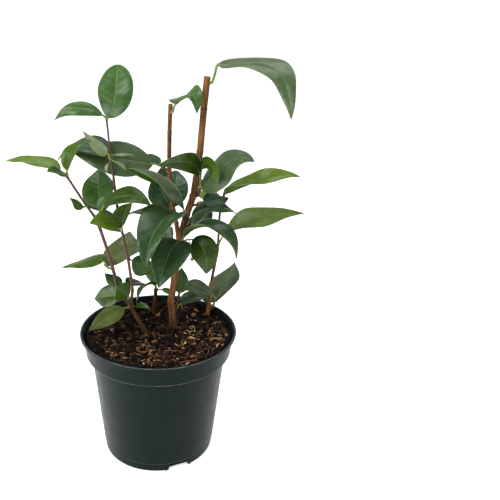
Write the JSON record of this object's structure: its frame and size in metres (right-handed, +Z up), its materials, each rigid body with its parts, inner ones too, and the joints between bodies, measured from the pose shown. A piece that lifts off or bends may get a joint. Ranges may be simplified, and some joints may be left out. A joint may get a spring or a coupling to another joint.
{
  "type": "potted camellia shrub",
  "caption": "Young camellia shrub with slim brown stems and glossy pointed leaves, growing in a filled round nursery pot with a broad rim band.",
  "frame": {"origin": "centre of the pot's flat underside", "axes": "+Z up along the pot's axis, +X to the right and +Y away as the plant is seen from the front"},
  "size_m": [0.2846, 0.1673, 0.3866],
  "materials": {
    "pot": "satin, lightly scuffed",
    "compost": "matte, loose and fibrous",
    "bark": "matte brown bark",
    "young_bark": "smooth purple-brown bark",
    "leaf_mature": "glossy dark green leaf",
    "leaf_middle": "glossy mid green leaf",
    "leaf_young": "glossy bright green leaf"
  },
  "bodies": {
    "root": {"pot": "pot", "compost": "compost", "main_stem": "bark", "second_stem": "bark", "left_stem": "young_bark", "inner_stem": "young_bark", "right_stem": "bark", "short_stem": "bark", "top_leaf": "leaf_mature", "upper_spray": "leaf_mature", "right_leaf": "leaf_mature", "middle_spray": "leaf_mature", "front_spray": "leaf_mature", "low_spray": "leaf_mature", "fork_leaf": "leaf_mature", "foot_spray": "leaf_mature", "second_top_leaf": "leaf_middle", "back_leaf": "leaf_mature", "second_low_spray": "leaf_mature", "left_low_leaf": "leaf_young", "left_foot_spray": "leaf_middle", "left_back_spray": "leaf_mature", "left_middle_spray": "leaf_young", "left_tip_spray": "leaf_young", "inner_crown": "leaf_middle", "inner_middle_spray": "leaf_young", "inner_low_spray": "leaf_mature", "right_foot_leaf": "leaf_mature", "right_crown": "leaf_young", "short_spray": "leaf_middle", "short_low_leaf": "leaf_middle"}
  },
  "joints": []
}
